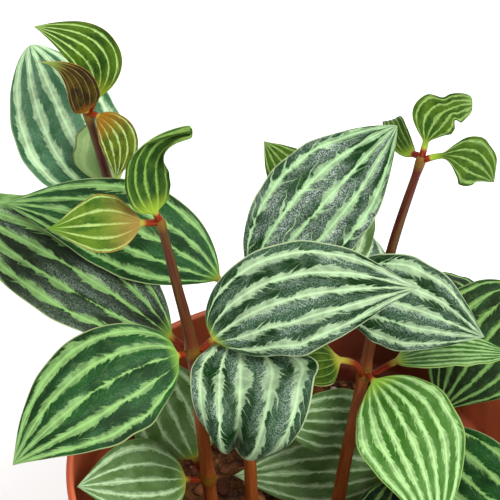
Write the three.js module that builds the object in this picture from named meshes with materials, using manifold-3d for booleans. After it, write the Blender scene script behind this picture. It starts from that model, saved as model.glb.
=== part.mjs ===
// Potted peperomia: ten striped-leaf shoots in potting mix, in a plastic nursery pot.
// Millimetres, +Z up. The origin is the middle of the pot's underside, and -Y is the front.

import * as THREE from "three";
import { mergeVertices } from "three/addons/utils/BufferGeometryUtils.js";
import Module from "manifold-3d";

const wasm = await Module();
wasm.setup();

// ---------------------------------------------------------------- driving dimensions

const GAP = 0.3; // clearance between pieces that touch

const POT = {
  height: 92,
  rimRadius: 54, // outside, at the top of the collar
  baseRadius: 39,
  baseChamfer: 1,
  wall: 1.8,
  floor: 2.2,
  collarHeight: 20, // the band round the top
  collarStep: 2, // how far the band stands out from the wall
  collarTaper: 1, // how much narrower the band is at its lower edge
  lipRadius: 0.6,
  sides: 48,
  holes: 6, // drain holes in the floor
  holeRadius: 4,
  holeCircle: 27, // radius of the circle they lie on
  holeSides: 16,
};

const MIX = { depthBelowRim: 22, crown: 1.5, flatShare: 0.6, sides: 48 };

const STEM = {
  lowRadius: 1.8,
  topRadius: 0.9,
  swelling: 0.3, // how much thicker it is where leaves grow
  tension: 0.5, // of the curve through its points
  sides: 8,
  ringsPerSpan: 4,
};

const LEAF = {
  thickness: 1,
  thinning: 0.4, // share of the thickness lost over the outer half of the blade
  stalkRadius: 0.75,
  cupPower: 1.5, // how the cup's rise grows from the midrib to the margin
  curlFrom: 0.55, // where along its length a leaf that rolls under starts to
  sides: 8,
};

// What a leaf has unless it says otherwise.
const PLAIN_LEAF = { sweep: [0, 0], cup: 0, curl: 0, stalk: 4, widest: 0.42, base: 0.62, point: 1 };

// Where the rings of a blade lie, as shares of its length, and how far in it is full thickness.
const BLADE_RINGS = [0.06, 0.16, 0.3, 0.44, 0.6, 0.75, 0.88, 0.97];
const FULL_THICKNESS_AT = 0.125;
const STALK_RING = 0.7; // and where the last ring of the bare stalk lies, as a share of it

// ---------------------------------------------------------------- the plant

// Each shoot has a stem through a few points, from inside the mix to its tip.
// A leaf grows at stem point `at` (counted from 0) and ends at `tip`. `face` is where its
// upper side looks. `arch` lifts the first and last third of its midrib off the straight
// line, towards the upper side, and `sweep` moves them sideways. `cup` raises its margins
// and `curl` rolls its outer part under, both in degrees. `stalk` is its bare length.
// `widest` is a place along the blade, from its base, and `base` and `point` tell how
// its two ends narrow: 0.5 is round and 1 pointed.
// A positive `sweep` is to the right, seen from the base with the upper side up.
const SHOOTS = [
  {
    name: "left",
    stem: [[-34, 20, 46], [-35, 21, 80], [-38, 26, 112], [-42, 32, 145], [-47, 34, 171]],
    leaves: [
      { at: 4, tip: [-58, 38, 193], width: 11.5, face: [0, -7, 7],
        arch: [2, 5], sweep: [11, 10], cup: 10, stalk: 2, widest: 0.5, base: 0.9 },
      { at: 4, tip: [-57, 26.5, 193], width: 7.8, face: [3, -8, 4],
        arch: [3.4, 4], sweep: [0.4, 8], cup: 18, stalk: 2, widest: 0.36, base: 0.7, point: 1.6 },
      { at: 4, tip: [-41, 27, 158], width: 9, face: [3, -8, 6],
        arch: [5, 4], sweep: [-5, -3], cup: 15, stalk: 1, base: 0.7 },
      { at: 3, tip: [-61, 57, 171], width: 25, face: [2, -7, 7],
        arch: [-2, 1], sweep: [-2, -1], cup: -8, point: 0.62 },
      { at: 3, tip: [-43, 38, 168], width: 14, face: [-3, 7, 2],
        arch: [1, 1], cup: 20, base: 1 },
    ],
  },
  {
    name: "front_left",
    stem: [[-18, 3, 46], [-21, 1, 86], [-24, -2, 133], [-27, -3, 155], [-30, -4, 175]],
    leaves: [
      { at: 4, tip: [-23, 2, 196], width: 11.5, face: [2, -8, 5],
        arch: [3, -4], sweep: [-6, -12], cup: 30, stalk: 2, widest: 0.36, base: 0.9, point: 0.25 },
      { at: 4, tip: [-54, -9, 178], width: 13, face: [0, -6, 8],
        arch: [2, 2], cup: 15, stalk: 3, base: 1.1, point: 1.5 },
      { at: 2, tip: [-84, 30, 150], width: 25, face: [0, -6, 8],
        arch: [3, 2], sweep: [3, 3], cup: 8, base: 0.95 },
      { at: 2, tip: [-63, -26, 122], width: 26, face: [-1, -6, 8],
        arch: [5, 4], sweep: [5, 4], cup: -6, stalk: 1.5, base: 0.58 },
      { at: 2, tip: [25, -4, 155], width: 25, face: [0, -7, 7],
        arch: [3, 4], sweep: [-8, -6], cup: -3 },
      { at: 1, tip: [-51, -8, 93], width: 20, face: [0, -4, 9], arch: [1, 2], cup: 5 },
      { at: 1, tip: [-36, 22, 107], width: 22, face: [-3, -7, 6], arch: [2, 2], cup: 5 },
    ],
  },
  {
    name: "centre",
    stem: [[-11, 2, 46], [-11, 2, 86], [-13, 6, 118], [-14, 8, 140]],
    leaves: [
      { at: 3, tip: [21, 27, 174], width: 25, face: [0, -7, 7],
        arch: [3, 3], sweep: [1, -1], cup: -5, widest: 0.46, point: 0.85 },
      { at: 3, tip: [-66, 24, 153], width: 22, face: [0, -6, 8],
        arch: [4, 3], sweep: [7, 6], cup: -5, base: 1 },
      { at: 3, tip: [-13, -26.5, 126.5], width: 27, face: [0, -7, 8], arch: [-10, -3],
        sweep: [-1, 0], cup: 18, curl: 150, stalk: 8, widest: 0.4, base: 0.9, point: 0.75 },
      { at: 3, tip: [6, 30, 136], width: 11, face: [0, -3, 9], arch: [2, 2], cup: 5 },
    ],
  },
  {
    name: "inner",
    stem: [[2, 19, 46], [1, 17, 100], [3, 10, 138], [8, 20, 150]],
    leaves: [
      { at: 2, tip: [41, 2, 133], width: 22, face: [0, -8, 6],
        arch: [5, 5], sweep: [-6, -3], cup: -10 },
      { at: 3, tip: [-8, 40, 157], width: 12, face: [0, -6, 8], arch: [2, 2] },
      { at: 2, tip: [11, 40, 150], width: 20, face: [0, -6, 8], arch: [2, 2] },
      { at: 1, tip: [-12, 34, 108], width: 18, face: [0, -2, 9], arch: [4, 4], cup: 5 },
    ],
  },
  {
    name: "right",
    stem: [[8, -2, 46], [10, 0, 82], [15, 8, 115], [20, 15, 146], [26, 20, 170]],
    leaves: [
      { at: 4, tip: [37, 26, 181.5], width: 10.5, face: [0, -6, 8],
        arch: [2, 2], sweep: [-2.5, -6], cup: 10, stalk: 2, widest: 0.52, base: 1.9, point: 0.35 },
      { at: 4, tip: [42, 18, 165.5], width: 11.5, face: [0, -7, 7],
        arch: [4, 4], sweep: [-4, -4], stalk: 1, widest: 0.6, base: 1.9 },
      { at: 4, tip: [20, 42, 171.5], width: 5.5, face: [0, -7, 7],
        arch: [-4, -3], sweep: [-3, -3], cup: 20, curl: 110, stalk: 2, point: 0.6 },
      { at: 2, tip: [-4, -4, 129], width: 14, face: [0, -3, 9],
        arch: [9, 4], cup: 10, stalk: 12, widest: 0.5, base: 1.4 },
      { at: 2, tip: [50, 10, 118], width: 15, face: [0, 2, 8],
        arch: [6, 3], cup: 5, stalk: 6, base: 0.8 },
      { at: 2, tip: [30, -31, 103], width: 24, face: [0, -6, 8],
        arch: [6, 5], sweep: [-4, -5], cup: 6, stalk: 2, base: 0.9 },
    ],
  },
  {
    name: "back_right",
    stem: [[36, 23, 46], [37, 25, 76], [46, 31, 104], [57, 34, 118]],
    leaves: [
      { at: 3, tip: [34, 18, 90], width: 28, face: [-2, -8, 6], arch: [5, 5], sweep: [2, 2] },
      { at: 3, tip: [72, 58, 128], width: 24, face: [1, 1, 9], arch: [6, 5] },
      { at: 3, tip: [82, 16, 112], width: 24, face: [2, 0, 9], arch: [6, 5] },
      { at: 2, tip: [26, 60, 93], width: 16, face: [-1, 2, 9], arch: [4, 3] },
    ],
  },
  {
    name: "back",
    stem: [[2, 30, 46], [3, 32, 76], [3, 36, 98], [2, 40, 112]],
    leaves: [
      { at: 3, tip: [-4, 56, 116], width: 12, face: [0, -2, 9], arch: [3, 3], cup: 10 },
      { at: 3, tip: [12, 56, 108], width: 12, face: [0, 3, 9], arch: [4, 4], cup: 10 },
      { at: 2, tip: [-14, 64, 88], width: 15, face: [-2, 3, 9], arch: [6, 5], stalk: 7 },
      { at: 2, tip: [20, 80, 86], width: 21, face: [2, 5, 8], arch: [7, 6], stalk: 6 },
    ],
  },
  {
    name: "low_right",
    stem: [[27, 12, 46], [27, 13, 76], [24, 15, 90]],
    leaves: [
      { at: 2, tip: [58, -32, 94], width: 24, face: [0, -4, 9], arch: [2, 2] },
      { at: 2, tip: [-7, 6, 101], width: 16, face: [0, -8, 5], arch: [2, 2] },
      { at: 1, tip: [-15, 8, 78], width: 18, face: [0, -8, 6], arch: [2, 2] },
      { at: 1, tip: [16, -40, 84], width: 20, face: [0, -3, 9], arch: [4, 4] },
    ],
  },
  {
    name: "low_left",
    stem: [[-30, -20, 46], [-30, -21, 84], [-33, -27, 105]],
    leaves: [
      { at: 2, tip: [-70, -44, 92], width: 23, face: [-1, -2, 9], arch: [6, 5], stalk: 5 },
      { at: 2, tip: [-45, -67, 104], width: 22, face: [-1, -3, 9], arch: [6, 5] },
      { at: 1, tip: [-24, -56, 99], width: 15, face: [-1, -3, 8], arch: [7, 5] },
      { at: 2, tip: [-30, -42, 119], width: 10, face: [0, 1, 9], arch: [2, 2], cup: 15, stalk: 2 },
    ],
  },
  {
    name: "front",
    stem: [[2, -28, 46], [2, -29, 76], [4, -34, 94], [6, -39, 110]],
    leaves: [
      { at: 3, tip: [-14, -80, 108], width: 24, face: [0, -3, 9], arch: [6, 5] },
      { at: 3, tip: [42, -64, 112], width: 22, face: [1, -2, 9], arch: [6, 5] },
      { at: 2, tip: [16, -78, 90], width: 20, face: [0, -4, 8], arch: [6, 5] },
      { at: 3, tip: [10, -54, 126], width: 10, face: [0, 3, 9], arch: [2, 2], cup: 15, stalk: 2 },
    ],
  },
];

// ---------------------------------------------------------------- materials

const material = (name, color, roughness) =>
  Object.assign(new THREE.MeshStandardMaterial({ color, roughness, metalness: 0 }), { name });

const potPlastic = () => material("pot_plastic", 0xc4623f, 0.5);
const pottingMix = () => material("potting_mix", 0x3b2a20, 0.95);
const stemSkin = () => material("stem", 0x7c3426, 0.5);
const leafSkin = () => material("leaf", 0x4f8050, 0.4);

// ---------------------------------------------------------------- helpers

const vector = ([x, y, z]) => new THREE.Vector3(x, y, z);

// A closed body grown along a line. Ring 0 and the last ring are its two end points, and
// place(ring, turn) gives the point of the skin at that ring and that turn round the line.
function grownBody(rings, sides, place) {
  const geometry = new THREE.SphereGeometry(1, sides, rings.length - 1);
  const { position, uv } = geometry.attributes;
  for (let i = 0; i < position.count; i += 1) {
    const ring = Math.round((1 - uv.getY(i)) * (rings.length - 1));
    const point = place(rings[ring], -2 * Math.PI * Math.round(uv.getX(i) * sides) / sides);
    position.setXYZ(i, point.x, point.y, point.z);
  }
  return geometry;
}

function solidOf(geometry) {
  const plain = geometry.clone();
  plain.deleteAttribute("normal");
  plain.deleteAttribute("uv");
  const merged = mergeVertices(plain, 1e-4);
  return new wasm.Manifold(new wasm.Mesh({
    numProp: 3,
    vertProperties: merged.attributes.position.array,
    triVerts: Uint32Array.from(merged.index.array),
  }));
}

function geometryOf(solid) {
  const mesh = solid.getMesh();
  const geometry = new THREE.BufferGeometry();
  geometry.setAttribute("position", new THREE.BufferAttribute(mesh.vertProperties, 3));
  geometry.setIndex(new THREE.BufferAttribute(mesh.triVerts, 1));
  return geometry;
}

// A profile of [radius, height] pairs, turned about Z.
function turned(profile, sides) {
  const points = profile.map(([radius, height]) => new THREE.Vector2(radius, height));
  return new THREE.LatheGeometry(points, sides).rotateX(Math.PI / 2);
}

function named(name, geometry, skin) {
  const mesh = new THREE.Mesh(geometry, skin);
  mesh.name = name;
  return mesh;
}

// ---------------------------------------------------------------- pot

const collarBottom = POT.height - POT.collarHeight;
const collarLowRadius = POT.rimRadius - POT.collarTaper;
const wallTopRadius = collarLowRadius - POT.collarStep;

// The radius of the pot's inside at a height below the collar.
function insideRadius(height) {
  return POT.baseRadius + (wallTopRadius - POT.baseRadius) * height / collarBottom - POT.wall;
}

function potGeometry() {
  const outside = [
    [0, 0],
    [POT.baseRadius - POT.baseChamfer, 0],
    [POT.baseRadius, POT.baseChamfer],
    [wallTopRadius, collarBottom],
    [collarLowRadius, collarBottom],
    [POT.rimRadius, POT.height - POT.lipRadius],
    [POT.rimRadius - POT.lipRadius, POT.height],
  ];
  const inside = [
    [POT.rimRadius - POT.wall + POT.lipRadius, POT.height],
    [POT.rimRadius - POT.wall, POT.height - POT.lipRadius],
    [collarLowRadius - POT.wall, collarBottom + POT.collarStep],
    [insideRadius(collarBottom), collarBottom],
    [insideRadius(POT.floor), POT.floor],
    [0, POT.floor],
  ];
  let pot = solidOf(turned([...outside, ...inside], POT.sides));
  for (let i = 0; i < POT.holes; i += 1) {
    const angle = 2 * Math.PI * i / POT.holes;
    const depth = 3 * POT.floor;
    const drill = new THREE.CylinderGeometry(POT.holeRadius, POT.holeRadius, depth, POT.holeSides);
    drill.rotateX(Math.PI / 2);
    drill.translate(POT.holeCircle * Math.cos(angle), POT.holeCircle * Math.sin(angle), 0);
    pot = pot.subtract(solidOf(drill));
  }
  return geometryOf(pot);
}

// ---------------------------------------------------------------- stems

function stemCurve(shoot) {
  return new THREE.CatmullRomCurve3(shoot.stem.map(vector), false, "catmullrom", STEM.tension);
}

// The stem's radius at a place counted in stem points, swollen where leaves grow.
function stemRadius(shoot, place) {
  const share = place / (shoot.stem.length - 1);
  const plain = THREE.MathUtils.lerp(STEM.lowRadius, STEM.topRadius, share);
  const atNode = shoot.leaves.some((leaf) => leaf.at === place);
  return atNode ? plain * (1 + STEM.swelling) : plain;
}

// The stem's body, or with a margin, the room it takes in the potting mix.
function stemGeometry(shoot, margin = 0) {
  const curve = stemCurve(shoot);
  const last = shoot.stem.length - 1;
  const rings = [{ place: 0, beyond: -margin, share: 0 }, { place: 0, beyond: -margin, share: 1 }];
  for (let i = 1; i <= last * STEM.ringsPerSpan; i += 1) {
    rings.push({ place: i / STEM.ringsPerSpan, beyond: 0, share: 1 });
  }
  const tip = stemRadius(shoot, last);
  rings.push({ place: last, beyond: tip * Math.SQRT1_2, share: Math.SQRT1_2 });
  rings.push({ place: last, beyond: tip + margin, share: 0 });
  const side = new THREE.Vector3(1, 0, 0);
  return grownBody(rings, STEM.sides, (ring, turn) => {
    const along = curve.getTangent(ring.place / last);
    const across = side.clone().addScaledVector(along, -side.dot(along)).normalize();
    const third = along.clone().cross(across);
    const radius = (stemRadius(shoot, ring.place) + margin) * ring.share;
    return curve.getPoint(ring.place / last)
      .addScaledVector(along, ring.beyond)
      .addScaledVector(across, radius * Math.cos(turn))
      .addScaledVector(third, radius * Math.sin(turn));
  });
}

// ---------------------------------------------------------------- potting mix

function mixGeometry() {
  const top = POT.height - MIX.depthBelowRim;
  const low = POT.floor + GAP;
  let mix = solidOf(turned([
    [0, low],
    [insideRadius(low) - GAP, low],
    [insideRadius(top - MIX.crown) - GAP, top - MIX.crown],
    [insideRadius(top) * MIX.flatShare, top],
    [0, top],
  ], MIX.sides));
  for (const shoot of SHOOTS) {
    mix = mix.subtract(solidOf(stemGeometry(shoot, GAP)));
  }
  return geometryOf(mix);
}

// ---------------------------------------------------------------- leaves

// Half the blade's width at a share of its length, as a part of its widest half:
// zero at both ends, each as round or as pointed as the leaf asks for.
function bladeOutline(leaf, share) {
  const skew = Math.log(0.5) / Math.log(leaf.widest);
  const wave = Math.sin(Math.PI * Math.pow(share, skew));
  return Math.pow(Math.max(wave, 0), THREE.MathUtils.lerp(leaf.base, leaf.point, share));
}

// The midrib, from a seat beside the stem to the tip, as a cubic Bezier curve.
function midrib(shoot, leaf) {
  const node = vector(shoot.stem[leaf.at]);
  const tip = vector(leaf.tip);
  const chord = tip.clone().sub(node);
  const direction = chord.clone().normalize();
  const face = vector(leaf.face);
  const upper = face.addScaledVector(direction, -face.dot(direction)).normalize();
  const side = direction.clone().cross(upper);
  const bend = (share, lift, shift) => node.clone()
    .addScaledVector(chord, share)
    .addScaledVector(upper, lift)
    .addScaledVector(side, shift);
  const early = bend(1 / 3, leaf.arch[0], leaf.sweep[0]);
  const late = bend(2 / 3, leaf.arch[1], leaf.sweep[1]);

  // The stalk stands off the stem by the gap: sideways, or onwards from the stem's tip.
  const away = early.clone().sub(node).normalize();
  const last = shoot.stem.length - 1;
  const along = stemCurve(shoot).getTangent(leaf.at / last);
  const onwards = away.dot(along);
  if (leaf.at < last || onwards < 0) {
    away.addScaledVector(along, -onwards).normalize();
  }
  const seat = node.addScaledVector(away, stemRadius(shoot, leaf.at) + GAP + LEAF.stalkRadius);
  const start = early.clone().sub(seat).normalize();
  return new THREE.CubicBezierCurve3(seat.addScaledVector(start, -LEAF.stalkRadius), early, late, tip);
}

// A point of the midrib, with the direction along it and the one its upper side looks in.
function midribFrame(curve, leaf, place) {
  const start = Math.min(place, leaf.curl ? LEAF.curlFrom : 1);
  const point = curve.getPoint(start);
  const along = curve.getTangent(start);
  const face = vector(leaf.face);
  const upper = face.addScaledVector(along, -face.dot(along)).normalize();
  if (place > start) {
    const bend = THREE.MathUtils.degToRad(leaf.curl) / (1 - LEAF.curlFrom);
    const angle = bend * (place - start);
    const radius = curve.getLength() / bend;
    point.addScaledVector(along, radius * Math.sin(angle));
    point.addScaledVector(upper, -radius * (1 - Math.cos(angle)));
    const across = along.clone().cross(upper);
    along.applyAxisAngle(across, -angle);
    upper.applyAxisAngle(across, -angle);
  }
  return { point, along, upper };
}

function leafGeometry(shoot, leaf) {
  const curve = midrib(shoot, leaf);
  const length = curve.getLength();
  const stalk = leaf.stalk / length;
  const rings = [0, LEAF.stalkRadius / length, stalk * STALK_RING];
  for (const share of BLADE_RINGS) {
    rings.push(stalk + share * (1 - stalk));
  }
  rings.push(1);
  return grownBody(rings, LEAF.sides, (place, turn) => {
    const { point, along, upper } = midribFrame(curve, leaf, place);
    if (place === 0 || place === 1) {
      return point;
    }
    const side = along.clone().cross(upper);
    const share = Math.max((place - stalk) / (1 - stalk), 0);
    const open = bladeOutline(leaf, share);
    const half = Math.max(leaf.width / 2 * open, LEAF.stalkRadius * (1 - share));
    const settled = Math.min(share / FULL_THICKNESS_AT, 1);
    const thinner = Math.min(1, 1 + LEAF.thinning * (0.5 - share));
    const thick = THREE.MathUtils.lerp(LEAF.stalkRadius, LEAF.thickness / 2, settled) * thinner;
    const across = Math.cos(turn);
    const lean = THREE.MathUtils.degToRad(leaf.cup) * open;
    const rise = half * Math.sin(lean) * Math.pow(Math.abs(across), LEAF.cupPower);
    return point
      .addScaledVector(side, half * Math.cos(lean) * across)
      .addScaledVector(upper, rise - thick * Math.sin(turn));
  });
}

// ---------------------------------------------------------------- assembly

const plant = new THREE.Group();
plant.add(named("pot", potGeometry(), potPlastic()));
plant.add(named("potting_mix", mixGeometry(), pottingMix()));
for (const shoot of SHOOTS) {
  const group = new THREE.Group();
  group.add(named(`stem_${shoot.name}`, stemGeometry(shoot), stemSkin()));
  shoot.leaves.forEach((leaf, i) => {
    const geometry = leafGeometry(shoot, { ...PLAIN_LEAF, ...leaf });
    group.add(named(`leaf_${shoot.name}_${i + 1}`, geometry, leafSkin()));
  });
  plant.add(group);
}

export default plant;
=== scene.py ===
import math
import random

import bmesh
import bpy
import numpy as np
from mathutils import Matrix, Vector, noise


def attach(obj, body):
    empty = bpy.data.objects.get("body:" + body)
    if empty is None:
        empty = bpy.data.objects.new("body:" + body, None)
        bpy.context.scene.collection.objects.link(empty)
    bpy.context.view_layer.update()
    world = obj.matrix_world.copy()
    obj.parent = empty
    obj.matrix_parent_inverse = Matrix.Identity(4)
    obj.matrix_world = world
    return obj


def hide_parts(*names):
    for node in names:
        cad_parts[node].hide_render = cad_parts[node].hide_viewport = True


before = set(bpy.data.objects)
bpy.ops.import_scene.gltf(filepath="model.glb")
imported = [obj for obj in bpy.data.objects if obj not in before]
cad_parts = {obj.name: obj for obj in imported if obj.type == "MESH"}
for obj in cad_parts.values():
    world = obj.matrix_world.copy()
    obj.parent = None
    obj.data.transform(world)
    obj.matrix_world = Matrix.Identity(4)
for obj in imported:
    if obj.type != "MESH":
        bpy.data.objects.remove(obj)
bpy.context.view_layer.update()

# Lengths below are in millimetres until a mesh is made: +Z up, -Y the plant's front.
MM = 0.001
SEED = 7

# ---------------- the plant's numbers

GAP = 0.3  # between a stalk's seat and its stem in the CAD model
POT_HEIGHT = 92.0
RIM_RADIUS = 54.0
BASE_RADIUS = 39.0
POT_WALL = 1.8
POT_FLOOR = 2.2
COLLAR_HEIGHT = 20.0
COLLAR_STEP = 2.0
COLLAR_TAPER = 1.0
DRAIN_HOLES = 6
DRAIN_RADIUS = 4.0
DRAIN_CIRCLE = 27.0
MIX_TOP = 70.0
COLLAR_BOTTOM = POT_HEIGHT - COLLAR_HEIGHT
COLLAR_LOW = RIM_RADIUS - COLLAR_TAPER
WALL_TOP = COLLAR_LOW - COLLAR_STEP

STEM_LOW = 1.8
STEM_TOP = 0.9
SWELLING = 0.3
STALK_RADIUS = 0.75
CURL_FROM = 0.55

# Stem points of each shoot, from inside the mix to the tip.
STEMS = {
    "left": [(-34, 20, 46), (-35, 21, 80), (-38, 26, 112), (-42, 32, 145), (-47, 34, 171)],
    "front_left": [(-18, 3, 46), (-21, 1, 86), (-24, -2, 133), (-27, -3, 155), (-30, -4, 175)],
    "centre": [(-11, 2, 46), (-11, 2, 86), (-13, 6, 118), (-14, 8, 140)],
    "inner": [(2, 19, 46), (1, 17, 100), (3, 10, 138), (8, 20, 150)],
    "right": [(8, -2, 46), (10, 0, 82), (15, 8, 115), (20, 15, 146), (26, 20, 170)],
    "back_right": [(36, 23, 46), (37, 25, 76), (46, 31, 104), (57, 34, 118)],
    "back": [(2, 30, 46), (3, 32, 76), (3, 36, 98), (2, 40, 112)],
    "low_right": [(27, 12, 46), (27, 13, 76), (24, 15, 90)],
    "low_left": [(-30, -20, 46), (-30, -21, 84), (-33, -27, 105)],
    "front": [(2, -28, 46), (2, -29, 76), (4, -34, 94), (6, -39, 110)],
}

# Leaves: at which stem point, tip, width, where the upper side faces, the midrib's lift
# (arch) and sideways shift (sweep) at its thirds, and the look. Then what differs from
# PLAIN. As in the CAD model: cup and curl in degrees, the stalk's length, where along the
# blade it is widest, how blunt its base is and how pointed its tip (both: 0.5 is round, 1
# pointed). For the looks alone: twist (degrees, and between which shares of the blade),
# roll (degrees that the margins close towards the tip), puff (how far the two halves stand
# off the midrib near the tip, mm), hem (how far one margin turns up, mm, negative for the
# left one), lop (how much wider the left half is, and the share of the blade where the
# right half takes over), pinch (where the blade is narrowed, and by what share) and wave
# (the margin's, mm).
PLAIN = {
    "cup": 0, "curl": 0, "stalk": 4, "widest": 0.42, "base": 0.62, "point": 1.0,
    "twist": (0, 0, 1), "roll": 0, "puff": 0, "hem": 0, "lop": (0, 1), "pinch": (0.5, 0), "wave": 0.35,
}
LEAVES = {
    "left": [
        (4, (-58, 38, 193), 11.5, (0, -7, 7), (2, 5), (11, 10), "olive",
         {"cup": 10, "stalk": 2, "base": 0.9, "widest": 0.5}),
        (4, (-57, 26.5, 193), 7.8, (3, -8, 4), (3.4, 4), (0.4, 8), "bronze",
         {"cup": 18, "stalk": 2, "widest": 0.36, "base": 0.7, "point": 1.6}),
        (4, (-41, 27, 158), 9, (3, -8, 6), (5, 4), (-5, -3), "bronze_edge",
         {"cup": 15, "stalk": 1, "base": 0.7}),
        (3, (-61, 57, 171), 25, (2, -7, 7), (-2, 1), (-2, -1), "blue", {"cup": -8, "point": 0.62}),
        (3, (-43, 38, 168), 14, (-5, 7, -2), (1, 1), (0, 0), "fresh",
         {"cup": 20, "base": 1.0, "hem": 3, "wave": 0.8}),
    ],
    "front_left": [
        (4, (-23, 2, 196), 11.5, (2, -8, 5), (3, -4), (-6, -12), "fresh",
         {"cup": 30, "stalk": 2, "widest": 0.36, "base": 1.1, "point": 0.1, "roll": 120}),
        (4, (-54, -9, 178), 13, (0, -6, 8), (2, 2), (0, 0), "spring",
         {"cup": 15, "stalk": 3, "base": 1.1, "point": 1.5}),
        (2, (-84, 30, 150), 25, (0, -6, 8), (3, 2), (3, 3), "shaded", {"cup": 8, "base": 0.95}),
        (2, (-63, -26, 122), 26, (-1, -6, 8), (5, 4), (5, 4), "grown",
         {"cup": -6, "stalk": 1.5, "base": 0.58}),
        (2, (25, -4, 155), 25, (0, -7, 7), (3, 4), (-8, -6), "silver", {"cup": -3}),
        (1, (-51, -8, 93), 20, (0, -4, 9), (1, 2), (0, 0), "low", {"cup": 5}),
        (1, (-36, 22, 107), 22, (-3, -7, 6), (2, 2), (0, 0), "low", {"cup": 5}),
    ],
    "centre": [
        (3, (21, 27, 174), 25, (0, -7, 7), (3, 3), (1, -1), "sheen",
         {"cup": -5, "widest": 0.46, "point": 0.85, "lop": (0.07, 1.5)}),
        (3, (-66, 24, 153), 22, (0, -6, 8), (4, 3), (7, 6), "grown", {"cup": -5, "base": 1.0}),
        (3, (-13.5, -26.3, 126.5), 30, (0, -7, 8), (-10, -3), (-1, 0), "silver",
         {"cup": 18, "curl": 150, "stalk": 8, "puff": 5, "base": 0.8, "point": 0.75, "widest": 0.38,
          "twist": (14, 0.3, 0.9), "lop": (0.22, 1.5)}),
        (3, (6, 30, 136), 11, (0, -3, 9), (2, 2), (0, 0), "low", {"cup": 5}),
    ],
    "inner": [
        (2, (41, 2, 133), 22, (0, -8, 6), (5, 5), (-6, -3), "silver", {"cup": -10}),
        (3, (-8, 40, 157), 12, (0, -6, 8), (2, 2), (0, 0), "tender", {}),
        (2, (11, 40, 150), 20, (0, -6, 8), (2, 2), (0, 0), "low", {}),
        (1, (-12, 34, 108), 18, (0, -2, 9), (4, 4), (0, 0), "low", {"cup": 5}),
    ],
    "right": [
        (4, (37, 26, 181.5), 10.5, (0, -6, 8), (2, 2), (-2.5, -6), "tender",
         {"cup": 10, "stalk": 2, "widest": 0.52, "base": 1.9, "point": 0.35, "lop": (0.12, 0.72),
          "twist": (25, 0.6, 0.85), "pinch": (0.72, 0.35)}),
        (4, (42, 18, 165.5), 11.5, (0, -7, 7), (4, 4), (-4, -4), "tender",
         {"stalk": 1, "widest": 0.6, "base": 1.9, "wave": 1.3}),
        (4, (20, 42, 171.5), 5.5, (0, -7, 7), (-4, -3), (-3, -3), "tender",
         {"cup": 20, "curl": 110, "stalk": 2, "point": 0.6}),
        (2, (-4, -4, 129), 14, (0, -3, 9), (9, 4), (0, 0), "young",
         {"cup": 10, "stalk": 12, "base": 1.4, "widest": 0.5}),
        (2, (50, 10, 118), 15, (0, 2, 8), (6, 3), (0, 0), "bright", {"cup": 5, "stalk": 6, "base": 0.8}),
        (2, (30, -31, 103), 24, (0, -6, 8), (6, 5), (-4, -5), "bright",
         {"cup": 6, "stalk": 2, "base": 0.9}),
    ],
    "back_right": [
        (3, (34, 18, 90), 28, (-2, -8, 6), (5, 5), (2, 2), "deep", {}),
        (3, (72, 58, 128), 24, (1, 1, 9), (6, 5), (0, 0), "silver", {}),
        (3, (82, 16, 112), 24, (2, 0, 9), (6, 5), (0, 0), "grown", {}),
        (2, (26, 60, 93), 16, (-1, 2, 9), (4, 3), (0, 0), "deep", {}),
    ],
    "back": [
        (3, (-4, 56, 116), 12, (0, -2, 9), (3, 3), (0, 0), "fresh", {"cup": 10}),
        (3, (12, 56, 108), 12, (0, 3, 9), (4, 4), (0, 0), "spring", {"cup": 10}),
        (2, (-14, 64, 88), 15, (-2, 3, 9), (6, 5), (0, 0), "grown", {"stalk": 7}),
        (2, (20, 80, 86), 21, (2, 5, 8), (7, 6), (0, 0), "silver", {"stalk": 6}),
    ],
    "low_right": [
        (2, (58, -32, 94), 24, (0, -4, 9), (2, 2), (0, 0), "grown", {}),
        (2, (-7, 6, 101), 16, (0, -8, 5), (2, 2), (0, 0), "low", {}),
        (1, (-15, 8, 78), 18, (0, -8, 6), (2, 2), (0, 0), "low", {}),
        (1, (16, -40, 84), 20, (0, -3, 9), (4, 4), (0, 0), "deep", {}),
    ],
    "low_left": [
        (2, (-70, -44, 92), 23, (-1, -2, 9), (6, 5), (0, 0), "grown", {"stalk": 5}),
        (2, (-45, -67, 104), 22, (-1, -3, 9), (6, 5), (0, 0), "silver", {}),
        (1, (-24, -56, 99), 15, (-1, -3, 8), (7, 5), (0, 0), "deep", {}),
        (2, (-30, -42, 119), 10, (0, 1, 9), (2, 2), (0, 0), "fresh", {"cup": 15, "stalk": 2}),
    ],
    "front": [
        (3, (-14, -80, 108), 24, (0, -3, 9), (6, 5), (0, 0), "silver", {}),
        (3, (42, -64, 112), 22, (1, -2, 9), (6, 5), (0, 0), "grown", {}),
        (2, (16, -78, 90), 20, (0, -4, 8), (6, 5), (0, 0), "deep", {}),
        (3, (10, -54, 126), 10, (0, 3, 9), (2, 2), (0, 0), "spring", {"cup": 15, "stalk": 2}),
    ],
}

# ---------------- shader helpers

LIGHT = 1.5  # how much brighter than its own colour a surface shows in this light
GLOSS = 0.022  # what the white studio's reflection adds


def tone(red, green, blue):
    """A colour as it should show, 0 to 255, as the linear colour a surface needs."""
    def linear(value):
        value /= 255
        if value <= 0.04045:
            return value / 12.92
        return ((value + 0.055) / 1.055) ** 2.4

    return [min(max((linear(value) - GLOSS) / LIGHT, 0.003), 0.95) for value in (red, green, blue)] + [1.0]


def operator(operation, swapped=False):
    def method(self, other):
        return self.shader.math(operation, *((other, self) if swapped else (self, other)))

    return method


class Value:
    """A node's output, which adds, subtracts and multiplies like a number."""

    def __init__(self, shader, socket):
        self.shader = shader
        self.socket = socket

    __add__, __radd__ = operator("ADD"), operator("ADD", True)
    __sub__, __rsub__ = operator("SUBTRACT"), operator("SUBTRACT", True)
    __mul__, __rmul__ = operator("MULTIPLY"), operator("MULTIPLY", True)


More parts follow.
